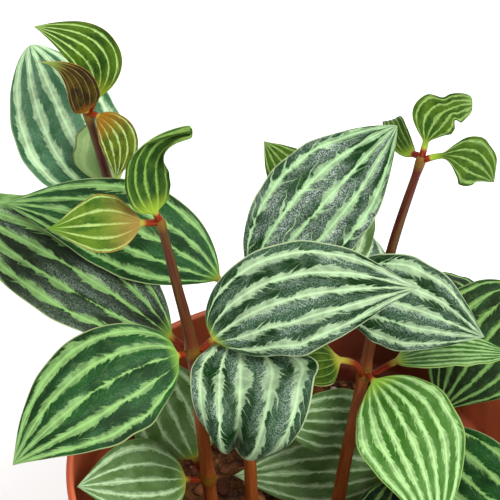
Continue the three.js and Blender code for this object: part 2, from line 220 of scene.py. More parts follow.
class Shader:
    """A material under construction: short names for the nodes that it is made of."""

    def __init__(self, name):
        self.material = bpy.data.materials.new(name)
        self.material.use_nodes = True
        self.tree = self.material.node_tree
        self.bsdf = self.tree.nodes["Principled BSDF"]

    def plug(self, value, socket):
        """The value is a node's, a number, a colour or, in a tuple, a tone's numbers."""
        if isinstance(value, Value):
            self.tree.links.new(value.socket, socket)
        else:
            socket.default_value = tone(*value) if isinstance(value, tuple) else value

    def node(self, kind, inputs, output=0, **settings):
        """A new node's output, as a value."""
        node = self.tree.nodes.new("ShaderNode" + kind)
        for name, value in settings.items():
            setattr(node, name, value)
        for name, value in inputs.items():
            self.plug(value, node.inputs[name])
        return Value(self, node.outputs[output])

    def math(self, operation, a, b=0.0):
        return self.node("Math", {0: a, 1: b}, operation=operation)

    def step(self, value, low, high):
        """0 where value is at low, 1 where it is at high, and smooth between them."""
        inputs = {"Value": value, "From Min": low, "From Max": high}
        return self.node("MapRange", inputs, "Result", interpolation_type="SMOOTHSTEP")

    def mix(self, share, a, b):
        return self.node("Mix", {"Factor": share, "A": a, "B": b}, "Result", data_type="RGBA")

    def split(self, vector):
        node = self.tree.nodes.new("ShaderNodeSeparateXYZ")
        self.plug(vector, node.inputs[0])
        return [Value(self, output) for output in node.outputs]

    def join(self, x, y, z):
        return self.node("CombineXYZ", {0: x, 1: y, 2: z})

    def attribute(self, name):
        return self.node("Attribute", {}, "Vector", attribute_name=name)

    def place(self):
        """The point's own place, in metres."""
        return self.node("TexCoord", {}, "Object")

    def noise(self, vector, scale, detail=2.0, roughness=0.5):
        inputs = {"Vector": vector, "Scale": scale, "Detail": detail, "Roughness": roughness}
        return self.node("TexNoise", inputs, "Fac")

    def mottle(self, x, y, z, detail=2.0, roughness=0.5):
        """Noise over three values."""
        return self.noise(self.join(x, y, z), 1.0, detail, roughness)

    def cells(self, vector, scale):
        return self.node("TexVoronoi", {"Vector": vector, "Scale": scale}, "Distance")

    def bump(self, height, strength, distance):
        inputs = {"Strength": strength, "Distance": distance, "Height": height}
        self.plug(self.node("Bump", inputs), self.bsdf.inputs["Normal"])

    def finish(self, colour, roughness, **settings):
        self.plug(colour, self.bsdf.inputs["Base Color"])
        self.plug(roughness, self.bsdf.inputs["Roughness"])
        for name, value in settings.items():
            self.bsdf.inputs[name.replace("_", " ")].default_value = value
        return self.material


# ---------------- leaf material

# What each look changes: the dark bands (two shades), the stripes, the yellow-green at the
# base and how far it reaches, the margin's line, how much painted silvery sheen the bands and
# stripes get, how many stripes fit a half, how wide they are, how deep the side veins notch the
# bands, how ragged the edges are, and how far the bands stand out as cushions. Some looks also
# say the tip's colour and how pale the side veins are (net).
LOOKS = {
    "silver": dict(dark=(52, 86, 56), deep=(34, 66, 38), stripe=(182, 212, 166), base=(136, 180, 84),
                   reach=0.06, edge=(190, 206, 160), silver=0.75, veins=2.55, width=0.4, notch=0.26,
                   ragged=0.34, net=0.5, meet=1.2, cushion=0.12),
    "sheen": dict(dark=(62, 86, 64), deep=(44, 70, 46), stripe=(184, 222, 168), base=(150, 190, 90),
                  reach=0.05, edge=(180, 196, 150), silver=1.25, width=0.32, notch=0.3, ragged=0.3,
                  net=0.9, meet=1.8, sides=12.4, cushion=0.5),
    "grown": dict(dark=(42, 86, 28), deep=(26, 64, 14), stripe=(142, 184, 112), base=(136, 182, 80),
                  reach=0.07, edge=(170, 186, 130), silver=0.14, width=0.36, notch=0.16, ragged=0.32,
                  far=0.24, cushion=0.03),
    "shaded": dict(dark=(16, 54, 6), deep=(8, 36, 2), stripe=(134, 174, 106), base=(136, 182, 80),
                   reach=0.07, edge=(170, 186, 130), silver=0.4, veins=2.8, width=0.34, notch=0.16,
                   ragged=0.34, far=1.1, cushion=0.03),
    "deep": dict(dark=(28, 62, 12), deep=(16, 44, 6), stripe=(130, 168, 100), base=(130, 170, 70),
                 reach=0.1, edge=(130, 160, 100), silver=0.08, veins=3.4, width=0.3, notch=0.14,
                 ragged=0.24, cushion=0.05),
    "low": dict(dark=(114, 146, 92), deep=(90, 120, 68), stripe=(186, 216, 166), base=(140, 170, 84),
                reach=0.14, edge=(130, 152, 100), silver=0.1, veins=2.6, width=0.36, notch=0.14,
                ragged=0.24, cushion=0.03),
    "blue": dict(dark=(84, 128, 92), deep=(68, 108, 78), stripe=(196, 230, 180), base=(150, 190, 120),
                 reach=0.1, edge=(170, 196, 150), silver=0.3, width=0.46, notch=0.1, ragged=0.18,
                 cushion=0.06),
    "bright": dict(dark=(90, 134, 66), deep=(66, 108, 48), stripe=(174, 216, 142), base=(164, 204, 76),
                   reach=0.14, edge=(160, 186, 110), silver=0.05, veins=3.5, width=0.46, notch=0.2,
                   ragged=0.26, cushion=0.05),
    "fresh": dict(dark=(66, 92, 24), deep=(46, 68, 12), stripe=(128, 164, 82), base=(170, 200, 72),
                  reach=0.24, edge=(120, 116, 70), silver=0.03, width=0.3, notch=0.12, ragged=0.18),
    "tender": dict(dark=(84, 112, 36), deep=(62, 88, 22), stripe=(140, 172, 96), base=(170, 200, 72),
                   reach=0.24, edge=(120, 116, 70), silver=0.03, width=0.32, notch=0.12, ragged=0.24),
    "olive": dict(dark=(86, 114, 40), deep=(60, 86, 24), stripe=(168, 200, 116), base=(166, 182, 62),
                  reach=0.28, edge=(146, 92, 62), silver=0.02, veins=2.6, width=0.22, notch=0.14,
                  ragged=0.16, cushion=0.16),
    "bronze": dict(tip=(150, 178, 92), dark=(88, 70, 0), deep=(62, 36, 0), stripe=(186, 164, 82),
                   base=(170, 108, 50), reach=0.2, edge=(196, 140, 90), veins=2.6, width=0.08,
                   notch=0.04, ragged=0.05),
    "young": dict(dark=(84, 106, 36), deep=(56, 78, 18), stripe=(120, 144, 74), base=(150, 160, 60),
                  reach=0.3, edge=(170, 170, 110), veins=3.4, width=0.16, notch=0.06, ragged=0.08,
                  cushion=0.12),
    "bronze_edge": dict(dark=(110, 126, 44), deep=(88, 96, 32), stripe=(182, 208, 128),
                        base=(166, 112, 48), reach=0.4, edge=(212, 152, 100), silver=0.02, veins=2.4,
                        width=0.28, notch=0.16, ragged=0.2, cushion=0.16),
    "spring": dict(tip=(110, 150, 60), dark=(104, 130, 52), deep=(68, 100, 34), stripe=(162, 188, 108),
                   base=(170, 138, 80), reach=0.5, edge=(190, 132, 76), veins=2.2, width=0.24,
                   notch=0.08, ragged=0.1),
}
# What a look has unless it says otherwise. The first three are how much wider the stripes
# get towards the tip, how far the side veins reach into the bands, and their number.
USUAL_LOOK = dict(far=0.14, meet=1.05, sides=20.0, silver=0.0, veins=2.5, cushion=0.14)
LOOKS = {name: {**USUAL_LOOK, **own} for name, own in LOOKS.items()}
RELIEF = 2.4  # how high the cushions stand, times the look's own number, mm
UNDERSIDE = (204, 238, 160)
UNDERSIDE_DARK = (180, 216, 134)
UNDERSIDE_BAND = (120, 158, 96)
UNDERSIDE_VEIN = (196, 220, 160)
STALK_RED = (160, 76, 50)
STALK_DARK = (122, 50, 34)
STALK_PALE = (186, 180, 80)
# Colours of the painted sheen's grains, on the stripes and on the bands.
PAINTED_STRIPE_SHEEN = (214, 232, 206)
PAINTED_SHEEN_GREY = (186, 200, 192)
SIDE_SLANT = 0.045  # half as far as a side vein gets towards the tip, as a share of the blade
LANE_SHIFT = 0.37  # so that side veins of neighbouring stripes don't line up
SIDE_SHIFT = 0.5  # nor those on a stripe's two sides
GRAIN_SCALE = 3300.0  # of the painted sheen's grains, per metre
CELL_SCALE = 1700.0  # and of the skin's cells


def leaf_material(name, look):
    s = Shader("leaf_" + name)
    across, along, under = s.split(s.attribute("leaf_place"))
    seed, stalk, shade = s.split(s.attribute("leaf_mark"))
    place = s.place()

    # near is 0 on a main vein and 1 halfway between two.
    spacing = 1 / look["veins"]
    vein = s.math("ROUND", s.math("DIVIDE", across, spacing))
    near = s.math("DIVIDE", s.math("PINGPONG", across, spacing / 2), spacing / 2)

    # Side veins leave the main ones and bend towards the tip. toward counts them, and gap is
    # 0 on a side vein and 1 between two.
    which = s.math("SIGN", across - vein * spacing)
    slant = near * (near + 1.0) * SIDE_SLANT
    lane = vein * 5.1 + which * 1.7
    wobble = (s.mottle(across * 5, along * 9, seed) - 0.5) * 1.1
    uneven = (s.mottle(along * 8, lane, seed) - 0.5) * 2.6
    toward = (along - slant) * look["sides"] + vein * LANE_SHIFT
    toward += which * (SIDE_SHIFT / 2) + wobble + uneven
    gap = s.math("PINGPONG", toward, 0.5) * 2.0
    chance = s.mottle(toward * 0.75, lane, seed, 1.0)

    # The stripes' width: notched at side veins on one side and frayed on the other, wider
    # towards the tip.
    soft = s.step(which, -1.0, 1.0)
    middle = 1.0 - gap
    lobe = s.math("SQRT", 1.0 - middle * middle)
    notch = (1.0 - lobe) * (0.30 + s.step(chance, 0.45, 0.70) * 1.5)
    fray = s.mottle(toward * 6, near * 2.2, seed + lane, 3.0, 0.7)
    crumbs = s.mottle(across * 34, along * 80, seed, 3.0, 0.8)
    lumps = s.mottle(along * 15, lane, seed + 7.0, 2.0)
    merge = s.mottle(across * 2.6, along * 5, seed + 19.0, 1.0)
    wide = look["width"] - 0.06 + notch * (look["notch"] * 1.4)
    wide += (fray - 0.5) * ((soft + 0.3) * (look["ragged"] * 1.9))
    wide += (crumbs - 0.5) * (look["ragged"] * 1.5)
    wide += (lumps - 0.5) * (look["ragged"] * 2.6)
    wide += (merge - 0.5) * (look["ragged"] * 4.0)
    wide += s.step(along, 0.5, 1.0) * look["far"]
    wide += s.step(along, 0.86, 1.0) * 0.50
    wide -= s.step(along, 0.22, 0.0) * 0.12
    light = s.step(near - wide, 0.07 + soft * 0.09, -0.06 + soft * -0.08)

    # Thin side veins run on through the dark bands, and part them into islands.
    thread = s.step(gap, 0.10 + look["notch"] * 0.4, 0.03)
    thread *= s.step(near, look["meet"], 0.5)
    thread *= s.step(chance, 0.40, 0.62)
    islands = s.step(gap + s.step(chance, 0.62, 0.40), 0.05, 0.10 + look["notch"] * 1.2)

    patches = s.mottle(across * 2.2, along * 4.5, seed, 2.0)
    band = s.mix(s.step(patches, 0.35, 0.65), look["deep"], look["dark"])
    blotch = s.mottle(across * 9, along * 22, seed, 3.0, 0.6)
    band = s.mix(s.step(blotch, 0.5, 0.72) * 0.10, band, look["stripe"])

    # Painted sheen: fine pale grains, painted reflections on the bands, which gather in patches
    # between the side veins.
    grains = s.noise(place, GRAIN_SCALE, 2.0, 0.8)
    sheen = s.step(grains, 0.42, 0.62) * s.step(patches, 0.34, 0.62)
    sheen *= (0.5 + soft * 0.5) * (look["silver"] * 0.8)
    sheen *= s.step(near, 0.15, 0.5) * islands
    band = s.mix(sheen, band, PAINTED_SHEEN_GREY)
    band = s.mix(thread * look.get("net", look["notch"] * 1.2), band, look["stripe"])

    # A stripe is brightest along its vein, and painted sheen grains lighten it in places.
    stripe_tone = tone(*look["stripe"])
    brighter = [min(value * 1.28, 1.0) for value in stripe_tone[:3]] + [1.0]
    darker = [value * 0.56 for value in stripe_tone[:3]] + [1.0]
    pale = s.mottle(across * 5, along * 20, seed, 3.0)
    stripe = s.mix(s.step(pale, 0.3, 0.7), darker, stripe_tone)
    line = s.step(near, 0.20, 0.02) * (0.45 + pale * 0.8)
    stripe = s.mix(line, stripe, brighter)
    painted_stripe_sheen = s.step(patches, 0.45, 0.65) * (s.step(grains, 0.42, 0.6) * (look["silver"] * 0.9))
    painted_stripe_sheen *= s.step(near, 0.08, 0.3) * (0.25 + soft * 0.75)
    stripe = s.mix(painted_stripe_sheen, stripe, PAINTED_STRIPE_SHEEN)
    colour = s.mix(light, band, stripe)

    # Each leaf is a little lighter or darker than the next.
    colour = s.mix(s.step(shade, 0.0, -1.0) * 0.35, colour, (40, 66, 30))
    colour = s.mix(s.step(shade, 0.0, 1.0) * 0.10, colour, (120, 176, 92))

    # The base is yellow-green, and a thin line follows the margin.
    if "tip" in look:
        colour = s.mix(s.step(along, 0.72, 0.95) * 0.85, colour, look["tip"])
    colour = s.mix(s.step(along, look["reach"], 0.0) * 0.85, colour, look["base"])
    edge = s.step(s.math("ABSOLUTE", across), 0.965, 0.99) * 0.85
    colour = s.mix(edge, colour, look["edge"])

    # Below, the stripes and bands show through faintly, and the veins stand out paler.
    below = s.mix(s.step(patches, 0.3, 0.7) * 0.7, UNDERSIDE, UNDERSIDE_DARK)
    below = s.mix((1.0 - light) * 0.38, below, UNDERSIDE_BAND)
    below = s.mix(s.step(gap, 0.3, 0.05) * 0.3, below, UNDERSIDE_VEIN)
    below = s.mix(s.step(near, 0.22, 0.08) * 0.75, below, UNDERSIDE_VEIN)
    blush = s.step(near, 0.24, 0.05) * s.step(along, 0.34, 0.04)
    below = s.mix(blush * 0.55, below, STALK_RED)
    below = s.mix(s.step(along, look["reach"], 0.0) * 0.6, below, look["base"])
    below = s.mix(edge, below, look["edge"])
    colour = s.mix(s.step(under, 0.45, 0.62), colour, below)

    # The stalk is red and fades into the blade.
    streak = s.mottle(across * 4, stalk * 1.5, seed)
    red = s.mix(s.step(streak, 0.35, 0.7), STALK_RED, STALK_DARK)
    red = s.mix(s.step(stalk, 0.55, 0.12), red, STALK_PALE)
    colour = s.mix(s.step(stalk, 0.0, 0.22), colour, red)

    skin = s.cells(place, CELL_SCALE)
    cushion = s.step(near, 0.05, 0.7) * lobe
    groove = s.step(near, 0.0, 0.10)
    height = skin * 0.35 + (cushion + groove * 0.3)
    s.bump(height, 0.42, look["cushion"] * RELIEF * MM)
    roughness = 0.40 + s.noise(place, 500.0) * 0.14
    return s.finish(colour, roughness, Specular_IOR_Level=0.09, IOR=1.4)


# ---------------- other materials


def stem_material():
    s = Shader("stem_skin")
    around, height, joint = s.split(s.attribute("stem_place"))
    grain = s.mottle(around * 9, height * 0.10, 0.0, 3.0, 0.6)
    patch = s.mottle(around, height * 0.06, 3.0, 2.0)
    colour = s.mix(s.step(grain, 0.35, 0.65), (78, 36, 8), (114, 56, 20))
    colour = s.mix(s.step(patch, 0.40, 0.65) * 0.75, colour, (98, 80, 34))
    # Lower down the stems are redder, and also painted lighter there, as painted light against the shade
    # that falls on them.
    red = s.mix(s.step(grain, 0.35, 0.65), (150, 76, 42), (184, 108, 66))
    colour = s.mix(s.step(height, 104.0, 60.0) * 0.8, colour, red)
    green = s.mix(s.step(grain, 0.4, 0.6), (120, 106, 44), (150, 100, 50))
    colour = s.mix(s.step(joint, 0.25, 0.9) * 0.75, colour, green)
    scar = s.step(s.math("ABSOLUTE", joint - 0.72), 0.07, 0.0)
    colour = s.mix(scar * 0.5, colour, (70, 30, 24))
    s.bump(grain, 0.35, 0.3 * MM)
    roughness = 0.38 + grain * 0.2
    return s.finish(colour, roughness, Specular_IOR_Level=0.2)


def pot_material():
    s = Shader("pot_plastic")
    place = s.place()
    x, y, z = s.split(place)
    radius = s.math("SQRT", x * x + y * y)
    cloud = s.noise(place, 38.0, 4.0, 0.6)
    fleck = s.noise(place, 900.0, 2.0, 0.6)
    colour = s.mix(s.step(cloud, 0.3, 0.7), (184, 70, 38), (200, 82, 46))
    colour = s.mix(s.step(fleck, 0.62, 0.75) * 0.35, colour, (214, 108, 72))
    # The lip's top is painted paler, a painted highlight, and the inside is stained above the mix.
    top = s.step(z, (POT_HEIGHT - 1.2) * MM, POT_HEIGHT * MM)
    colour = s.mix(top * 0.6, colour, (208, 100, 64))
    ring = s.mottle(x * 60, y * 60, z * 160, 3.0)
    wet = s.step(z + ring * 0.010, (MIX_TOP + 14) * MM, (MIX_TOP + 4) * MM)
    # Halfway through the wall, below the band and in it.
    slope = (WALL_TOP - BASE_RADIUS) / COLLAR_BOTTOM
    lower = z * slope + (BASE_RADIUS - POT_WALL / 2) * MM
    upper = (z - COLLAR_BOTTOM * MM) * (COLLAR_TAPER / COLLAR_HEIGHT)
    upper += (COLLAR_LOW - POT_WALL / 2) * MM
    banded = s.step(z, (COLLAR_BOTTOM + 0.4) * MM, (COLLAR_BOTTOM + 1.6) * MM)
    middle = lower + (upper - lower) * banded
    inside = s.step(radius - middle, 0.2 * MM, -0.2 * MM)
    above = s.step(z, (MIX_TOP - 10) * MM, (MIX_TOP - 6) * MM)
    # The inner wall is painted lighter than the outside, most at the right, as painted light against its
    # shade.
    painted_light_inside = s.mix(s.step(x, 28 * MM, 42 * MM), [0.50, 0.11, 0.045, 1.0], [0.95, 0.21, 0.09, 1.0])
    colour = s.mix(inside * above * 0.85, colour, painted_light_inside)
    # Painted shade darkens the inner wall at the back centre.
    painted_shade_back = s.step(x, -8 * MM, 14 * MM) * s.step(y, 26 * MM, 35 * MM)
    painted_shade_back *= inside * above
    colour = s.mix(painted_shade_back * 0.8, colour, (64, 26, 16))
    stain = wet * inside * above
    colour = s.mix(stain * 0.4, colour, (120, 52, 34))
    dust = s.step(s.noise(place, 90.0, 4.0, 0.7), 0.55, 0.8) * 0.3
    colour = s.mix(dust, colour, (200, 124, 96))
    lathe = s.mottle(radius * 500, z * 1400, 0.0, 2.0)
    s.bump(fleck * 0.5 + lathe * 0.4, 0.12, 0.4 * MM)
    roughness = 0.36 + cloud * 0.22
    return s.finish(colour, roughness, Specular_IOR_Level=0.35)


def mix_material():
    s = Shader("potting_mix_ground")
    place = s.place()
    lumps = s.noise(place, 260.0, 5.0, 0.7)
    fibre = s.noise(place, 1100.0, 3.0, 0.7)
    colour = s.mix(s.step(lumps, 0.35, 0.65), (60, 40, 26), (126, 86, 56))
    colour = s.mix(s.step(fibre, 0.55, 0.72) * 0.6, colour, (170, 118, 80))
    s.bump(lumps + fibre * 0.6, 0.9, 1.2 * MM)
    return s.finish(colour, 0.95, Specular_IOR_Level=0.2)


def crumb_material():
    s = Shader("potting_mix_crumbs")
    shade, pale, _ = s.split(s.attribute("crumb_mark"))
    place = s.place()
    grain = s.noise(place, 1500.0, 3.0, 0.7)
    bark = s.mix(shade, (72, 46, 30), (190, 124, 82))
    bark = s.mix(s.step(grain, 0.4, 0.7) * 0.5, bark, (110, 70, 44))
    stone = s.mix(s.step(grain, 0.35, 0.7), (224, 218, 206), (186, 172, 152))
    s.bump(grain, 0.6, 0.6 * MM)
    return s.finish(s.mix(pale, bark, stone), 0.9, Specular_IOR_Level=0.25)


# ---------------- mesh helpers


def add_object(name, data):
    made = bpy.data.objects.new(name, data)
    bpy.context.scene.collection.objects.link(made)
    return made


def dress(piece, material):
    """What every piece gets: smooth shading, its material and the part's one body."""
    mesh = piece.data
    mesh.polygons.foreach_set("use_smooth", [True] * len(mesh.polygons))
    mesh.materials.clear()
    mesh.materials.append(material)
    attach(piece, "root")


def make_piece(name, vertices, faces, material, marks=()):
    """A piece from points in millimetres, with numbers for its material at each point."""
    mesh = bpy.data.meshes.new(name)
    mesh.from_pydata((np.asarray(vertices) * MM).tolist(), [], faces)
    mesh.update()
    for mark, values in marks:
        attribute = mesh.attributes.new(mark, "FLOAT_VECTOR", "POINT")
        attribute.data.foreach_set("vector", np.asarray(values, np.float32).ravel())
    piece = add_object(name, mesh)
    dress(piece, material)
    return piece


def circle(radius, height, sides):
    """Points round the Z axis."""
    turns = [2 * math.pi * i / sides for i in range(sides)]
    return [(radius * math.cos(t), radius * math.sin(t), height) for t in turns]


def skin_faces(rings, sides):
    """Quads between rings of points, with the first and last points as the two ends."""
    faces = []
    for j in range(sides):
        faces.append((0, 1 + (j + 1) % sides, 1 + j))
    for i in range(rings - 1):
        low = 1 + i * sides
        for j in range(sides):
            k = (j + 1) % sides
            faces.append((low + j, low + k, low + sides + k, low + sides + j))
    last = 1 + rings * sides
    low = 1 + (rings - 1) * sides
    for j in range(sides):
        faces.append((last, low + j, low + (j + 1) % sides))
    return faces


def unit(vectors):
    return vectors / np.linalg.norm(vectors, axis=-1, keepdims=True)


def smooth_step(value, low, high):
    share = np.clip((value - low) / (high - low), 0, 1)
    return share * share * (3 - 2 * share)


# ---------------- stems


def stem_line(points, place):
    """A point of a stem and its direction, at a place counted in its points."""
    p = np.asarray(points, float)
    last = len(p) - 1
    i = min(int(place), last - 1)
    share = place - i
    before = p[i - 1] if i > 0 else 2 * p[0] - p[1]
    after = p[i + 2] if i + 2 <= last else 2 * p[last] - p[last - 1]
    first, second = (p[i + 1] - before) / 2, (after - p[i]) / 2
    c2 = 3 * (p[i + 1] - p[i]) - 2 * first - second
    c3 = 2 * (p[i] - p[i + 1]) + first + second
    point = p[i] + share * (first + share * (c2 + share * c3))
    along = first + share * (2 * c2 + share * 3 * c3)
    return point, along / np.linalg.norm(along)


def stem_radius(shoot, place):
    """As in the CAD model: it tapers, and is thicker at a joint."""
    share = place / (len(STEMS[shoot]) - 1)
    plain = STEM_LOW + (STEM_TOP - STEM_LOW) * share
    joint = any(leaf[0] == place for leaf in LEAVES[shoot])
    return plain * (1 + SWELLING) if joint else plain


STEM_SIDES = 28
STEM_STEP = 0.9  # between rings
SPAN_SAMPLES = 60  # places tried between two stem points
JOINT_REACH = 2.4  # how far a joint's swelling spreads along the stem
STEM_RIBS = 5
RIB_DEPTH = 0.022  # as shares of the radius
STEM_UNEVENNESS = 0.03
STEM_WAVES = 0.16  # in a millimetre
RIB_TWIST = 0.05  # radians in a millimetre
COLLAR_STRENGTH = 0.05
COLLAR_DROP = 1.5  # how far below the joint its collar is
COLLAR_REACH = 0.45
# The rounded tip: how far past the end each ring lies and how wide it is, in tip radii.
STEM_TIP = [(0.35, 0.98), (0.7, 0.86), (1.0, 0.62), (1.35, 0.36)]
STEM_TIP_END = 1.5


def stem_mesh(shoot, material, index):
    points = STEMS[shoot]
    last = len(points) - 1
    tried = np.linspace(0, last, SPAN_SAMPLES * last + 1)
    line = np.array([stem_line(points, place)[0] for place in tried])
    travelled = np.concatenate([[0], np.cumsum(np.linalg.norm(np.diff(line, axis=0), axis=1))])
    joints = sorted({leaf[0] for leaf in LEAVES[shoot]})
    heights = [travelled[SPAN_SAMPLES * j] for j in joints]
    length = travelled[-1]
    tip_radius = STEM_TOP * (1 + SWELLING)
    rings = list(np.arange(0, length, STEM_STEP)) + [length]
    turn = np.linspace(0, 2 * math.pi, STEM_SIDES, endpoint=False)
    vertices, marks = [line[0]], [(0, 0, 0)]
    places = [(height, 0.0, 1.0) for height in rings]
    places += [(length, beyond * tip_radius, share) for beyond, share in STEM_TIP]
    for height, beyond, share in places:
        place = np.interp(height, travelled, tried)
        point, along = stem_line(points, place)
        across = unit(np.array([1.0, 0, 0]) - along[0] * along)
        third = np.cross(along, across)
        swell = max(math.exp(-(((height - joint) / JOINT_REACH) ** 2)) for joint in heights)
        base = STEM_LOW + (STEM_TOP - STEM_LOW) * place / last
        radius = base * (1 + SWELLING * swell) * share
        # Shallow lengthwise ribs, and a little unevenness.
        ribs = np.sin(STEM_RIBS * turn + RIB_TWIST * height + index)
        ribs = 1 + RIB_DEPTH * ribs * (1 - 0.5 * swell)
        uneven = 1 + STEM_UNEVENNESS * noise.noise(Vector((height * STEM_WAVES, index * 3.1, 0.0)))
        # A raised collar where stalks leave.
        above = [(height - joint + COLLAR_DROP) / COLLAR_REACH for joint in heights]
        collar = sum(COLLAR_STRENGTH * math.exp(-(far ** 2)) for far in above)
        ring = radius * (ribs * uneven + collar)[:, None]
        around = np.cos(turn)[:, None] * across + np.sin(turn)[:, None] * third
        vertices.extend(point + along * beyond + ring * around)
        round_it = np.sin(turn) + 1.3 * np.cos(turn) + index
        marks.extend(zip(round_it, [height] * STEM_SIDES, [swell] * STEM_SIDES))
    point, along = stem_line(points, last)
    vertices.append(point + along * STEM_TIP_END * tip_radius)
    marks.append((index, length, 1))
    faces = skin_faces(len(places), STEM_SIDES)
    piece = make_piece("stem_" + shoot + "_skin", vertices, faces, material,
                       [("stem_place", marks)])
    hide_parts("stem_" + shoot)


# ---------------- leaves

TOP_POINTS = 42
UNDER_POINTS = 26
STALK_RINGS = 9
BLADE_RINGS = 100
TIP_CROWDING = 1.12  # above 1, rings lie closer together towards the tip
LAST_RING = 0.997
LENGTH_SAMPLES = 201
CURLED_END = 0.1  # from the last ring to the tip of a leaf that rolls under, mm
ROOT = 0.75  # how much of the way to the stem's middle a stalk goes on
STALK_FADE = 1.35  # where the stalk's red ends, in stalk lengths
HALF_THICKNESS = 0.42
THINNING = 0.5  # share of it lost over the outer half of the blade
RIB = 0.3  # how far a vein stands out below, mm
RIB_WIDTH = 0.2  # as a share of the way to the middle between two veins
UNEVENNESS = 0.05  # of the margins, as a share of the half width
LEAST_HALF = 0.02
LEAST_LEAN = 1e-4
# Places along the blade, as shares of it.
FLAT_FROM = 0.12
THIN_FROM = 0.125
PINCH_REACH = 0.07
LOP_REACH = 0.12
ROLL_REACH = (0.45, 0.95)
PUFF_REACH = (0.3, 0.7)
HEM_FROM = 0.4  # and this one across it


def blade_outline(share, own):
    skew = math.log(0.5) / math.log(own["widest"])
    wave = np.maximum(np.sin(math.pi * share ** skew), 0)
    return wave ** (own["base"] + (own["point"] - own["base"]) * share)


def fold(value, size):
    """The distance from value to the nearest whole multiple of twice the size."""
    return np.abs((value + size) % (2 * size) - size)


def cushions(across, along, veins, side_veins):
    """How far a blade's surface stands up between its main and side veins, 0 to 1."""
    spacing = 1 / veins
    vein = np.round(across / spacing)
    near = fold(across, spacing / 2) / (spacing / 2)
    which = np.sign(across - vein * spacing)
    slant = near * (near + 1) * SIDE_SLANT
    toward = (along - slant) * side_veins + vein * LANE_SHIFT + which * SIDE_SHIFT / 2
    gap = 2 * fold(toward, 0.5)
    return np.sin(near * math.pi / 2) ** 0.8 * (0.55 + 0.45 * np.sqrt(gap))


def midrib(shoot, at, tip, face, arch, sweep):
    """The midrib's four Bezier points, with the stalk's start beside the stem."""
    node = np.array(STEMS[shoot][at], float)
    tip = np.array(tip, float)
    chord = tip - node
    direction = unit(chord)
    upper = np.array(face, float)
    upper = unit(upper - upper.dot(direction) * direction)
    side = np.cross(direction, upper)
    early = node + chord / 3 + upper * arch[0] + side * sweep[0]
    late = node + chord * 2 / 3 + upper * arch[1] + side * sweep[1]
    away = unit(early - node)
    last = len(STEMS[shoot]) - 1
    _, along = stem_line(STEMS[shoot], at)
    onwards = away.dot(along)
    if at < last or onwards < 0:
        away = unit(away - onwards * along)
    seat = node + away * (stem_radius(shoot, at) + GAP + STALK_RADIUS)
    start = unit(early - seat)
    return np.array([seat - start * STALK_RADIUS, early, late, tip]), node


def bezier(points, share):
    t = share[:, None]
    a, b, c, d = points
    place = (1 - t) ** 3 * a + 3 * (1 - t) ** 2 * t * b + 3 * (1 - t) * t * t * c + t ** 3 * d
    along = 3 * (1 - t) ** 2 * (b - a) + 6 * (1 - t) * t * (c - b) + 3 * t * t * (d - c)
    return place, unit(along)


def turned(vectors, axes, angles):
    """Vectors turned about axes at right angles to them."""
    angles = angles[:, None]
    return vectors * np.cos(angles) + np.cross(axes, vectors) * np.sin(angles)


def leaf_frames(control, face, own, places, share, length):
    """Each ring's middle, and the directions along the leaf, up from it and to its side."""
    start = np.minimum(places, CURL_FROM if own["curl"] else 1)
    point, along = bezier(control, start)
    upper = np.array(face, float)
    upper = unit(upper - (along @ upper)[:, None] * along)
    if own["curl"]:
        bend = math.radians(own["curl"]) / (1 - CURL_FROM)
        angle = bend * (places - start)
        radius = length / bend
        point = point + along * (radius * np.sin(angle))[:, None]
        point = point - upper * (radius * (1 - np.cos(angle)))[:, None]
        hinge = np.cross(along, upper)
        along, upper = turned(along, hinge, -angle), turned(upper, hinge, -angle)
    turn, twist_from, twist_to = own["twist"]
    upper = turned(upper, along, np.radians(turn) * smooth_step(share, twist_from, twist_to))
    return point, along, upper, np.cross(along, upper)


def leaf_section(ring, across, is_top, own, look, seed):
    """One ring's points, x to the side and z up, where across is -1 to 1."""
    place, share, half, lean, thick, flat = ring
    uneven = [noise.noise(Vector((place * 7 + seed, s * 5.0, 0.0))) for s in (-1, 1)]
    wider, change = own["lop"]
    lop = wider * (1 - 2 * smooth_step(share, change - LOP_REACH, change + LOP_REACH))
    left = 1 + lop + UNEVENNESS * uneven[0]
    right = 1 - lop + UNEVENNESS * uneven[1]
    halves = 1 + (np.where(across < 0, left, right) - 1) * flat
    reach = half * halves
    x = reach * np.sin(lean * across) / lean
    z = reach * (1 - np.cos(lean * across)) / lean
    bulge = np.sqrt(np.maximum(1 - across ** 2, 0))
    z += is_top * thick * (bulge * (1 - flat) + bulge ** 0.6 * flat)

    # The veins lie in shallow grooves, the bands between them are puffed, and below the
    # veins stand out.
    veins = look["veins"]
    fade = flat * min(1, 6 * (1 - share)) * min(1, half / 5) * (1 - np.abs(across) ** 6)
    relief = cushions(across, share, veins, look["sides"]) - 0.5
    z += RELIEF * look["cushion"] * fade * relief
    to_vein = fold(across, 0.5 / veins) * 2 * veins
    z -= np.where(is_top < 0, RIB * fade * np.exp(-((to_vein / RIB_WIDTH) ** 2)), 0)

    # Then come the leaf's own puff, wave and hem.
    lobes = np.sin(math.pi * np.abs(across) ** 0.8)
    z += own["puff"] * smooth_step(share, *PUFF_REACH) * lobes
    ripple = noise.noise(Vector((place * 9, seed, 2.0)))
    other = noise.noise(Vector((place * 9, seed, 9.0)))
    margin = np.where(across < 0, ripple, other) * np.abs(across) ** 3
    z += own["wave"] * 2 * flat * min(1, half / 6) * margin
    turned_up = np.maximum(np.sign(own["hem"]) * across - HEM_FROM, 0) / (1 - HEM_FROM)
    return x, z + abs(own["hem"]) * flat * turned_up ** 2 * min(1, 4 * (1 - share))


